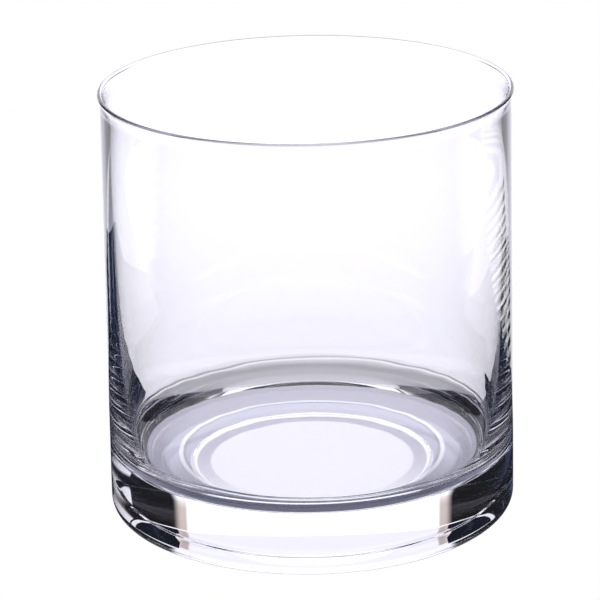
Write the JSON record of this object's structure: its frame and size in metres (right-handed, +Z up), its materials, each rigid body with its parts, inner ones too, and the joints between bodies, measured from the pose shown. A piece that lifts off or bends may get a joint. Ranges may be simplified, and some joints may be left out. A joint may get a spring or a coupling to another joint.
{
  "type": "whiskey tumbler",
  "caption": "Straight-sided clear glass tumbler for whiskey, with a thin rounded rim, walls that thicken downwards and a heavy solid base.",
  "frame": {"origin": "centre of the plane that the glass rests on, on its axis", "axes": "+Z up along the axis of the glass, towards the open rim; X and Y are alike because the glass is turned"},
  "size_m": [0.09, 0.09, 0.0955],
  "materials": {
    "clear_glass": "clear, fire-polished, faint cool lavender tint in the thick base"
  },
  "bodies": {
    "root": {"glass_body": "clear_glass"}
  },
  "joints": []
}
